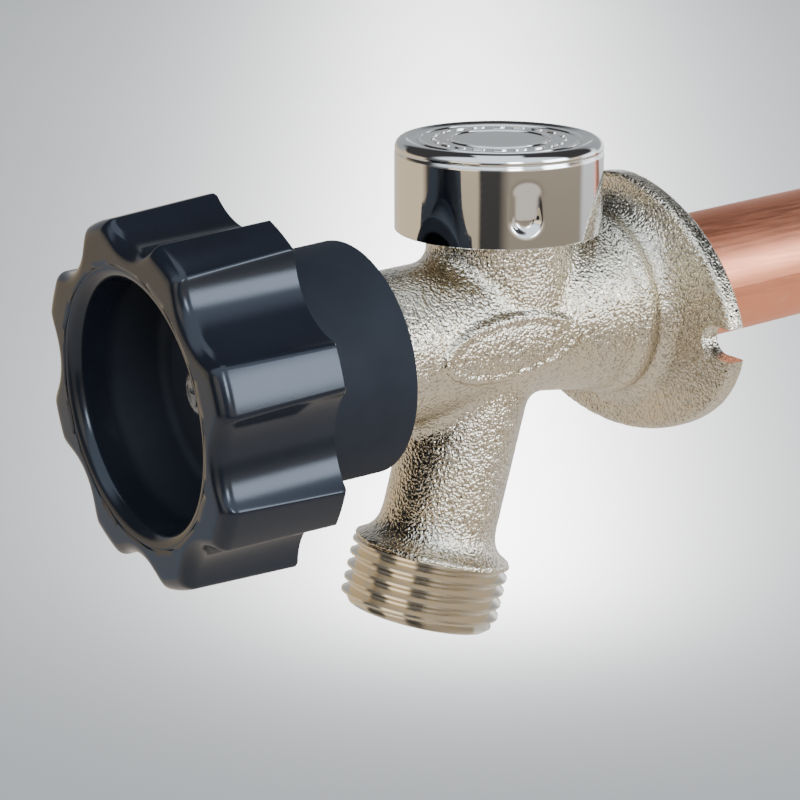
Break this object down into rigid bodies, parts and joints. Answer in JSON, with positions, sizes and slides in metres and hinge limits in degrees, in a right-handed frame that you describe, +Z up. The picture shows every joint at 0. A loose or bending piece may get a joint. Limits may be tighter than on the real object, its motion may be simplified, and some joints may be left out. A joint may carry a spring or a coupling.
{
  "type": "frost free sillcock",
  "caption": "Frost-free wall faucet: lobed quarter-turn handle, cast body with flange and threaded spout, capped vacuum breaker, copper tube with its seat behind the wall.",
  "frame": {"origin": "where the supply tube's axis crosses the wall, which is the back face of the flange", "axes": "+Y into the wall along the tube, -Y towards the user, +Z up, +X to the right as the user faces the wall; the tube's axis rises 3 degrees into the wall"},
  "size_m": [0.0614, 0.27, 0.0833],
  "materials": {
    "nickel_casting": "rough-cast brass, satin nickel plated",
    "brass": "machined",
    "copper": "drawn copper, satin",
    "chrome": "polished",
    "steel": "plain",
    "navy_plastic": "moulded, semi-gloss",
    "white_plastic": "moulded",
    "black_rubber": "plain"
  },
  "bodies": {
    "casting": {"body_casting": "nickel_casting", "supply_tube": "copper", "inlet_fitting": "brass", "packing_nut": "brass", "packing_washer": "brass", "packing_ring": "black_rubber", "stem_bushing": "brass", "float_seat": "brass", "bonnet_gasket": "black_rubber", "breaker_bonnet": "brass", "breaker_cap": "chrome"},
    "seat": {"seat_disc_holder": "brass", "seat_washer": "black_rubber", "seat_screw": "steel"},
    "stem": {"handle": "navy_plastic", "handle_screw": "steel", "handle_screw_washer": "steel", "stem_head": "brass", "stem_seal_front": "black_rubber", "stem_seal_rear": "black_rubber", "operating_rod": "brass", "stem_tail": "brass"},
    "float": {"breaker_float": "white_plastic", "float_seal": "black_rubber"}
  },
  "joints": [
    {"name": "seat_slide", "type": "slide", "parent": "casting", "child": "seat", "axis": [0, -0.9986, -0.0523], "range_m": [0, 0.003]},
    {"name": "handle_turn", "type": "hinge", "parent": "seat", "child": "stem", "pos_m": [0, 0, 0], "axis": [0, -0.9986, -0.0523], "range_deg": [0, 90]},
    {"name": "float_lift", "type": "slide", "parent": "casting", "child": "float", "axis": [0, 0, 1], "range_m": [0, 0.0028]}
  ],
  "couplings": [
    {"joint": "handle_turn", "follows": "seat_slide", "rad_per_m": 523.6}
  ]
}
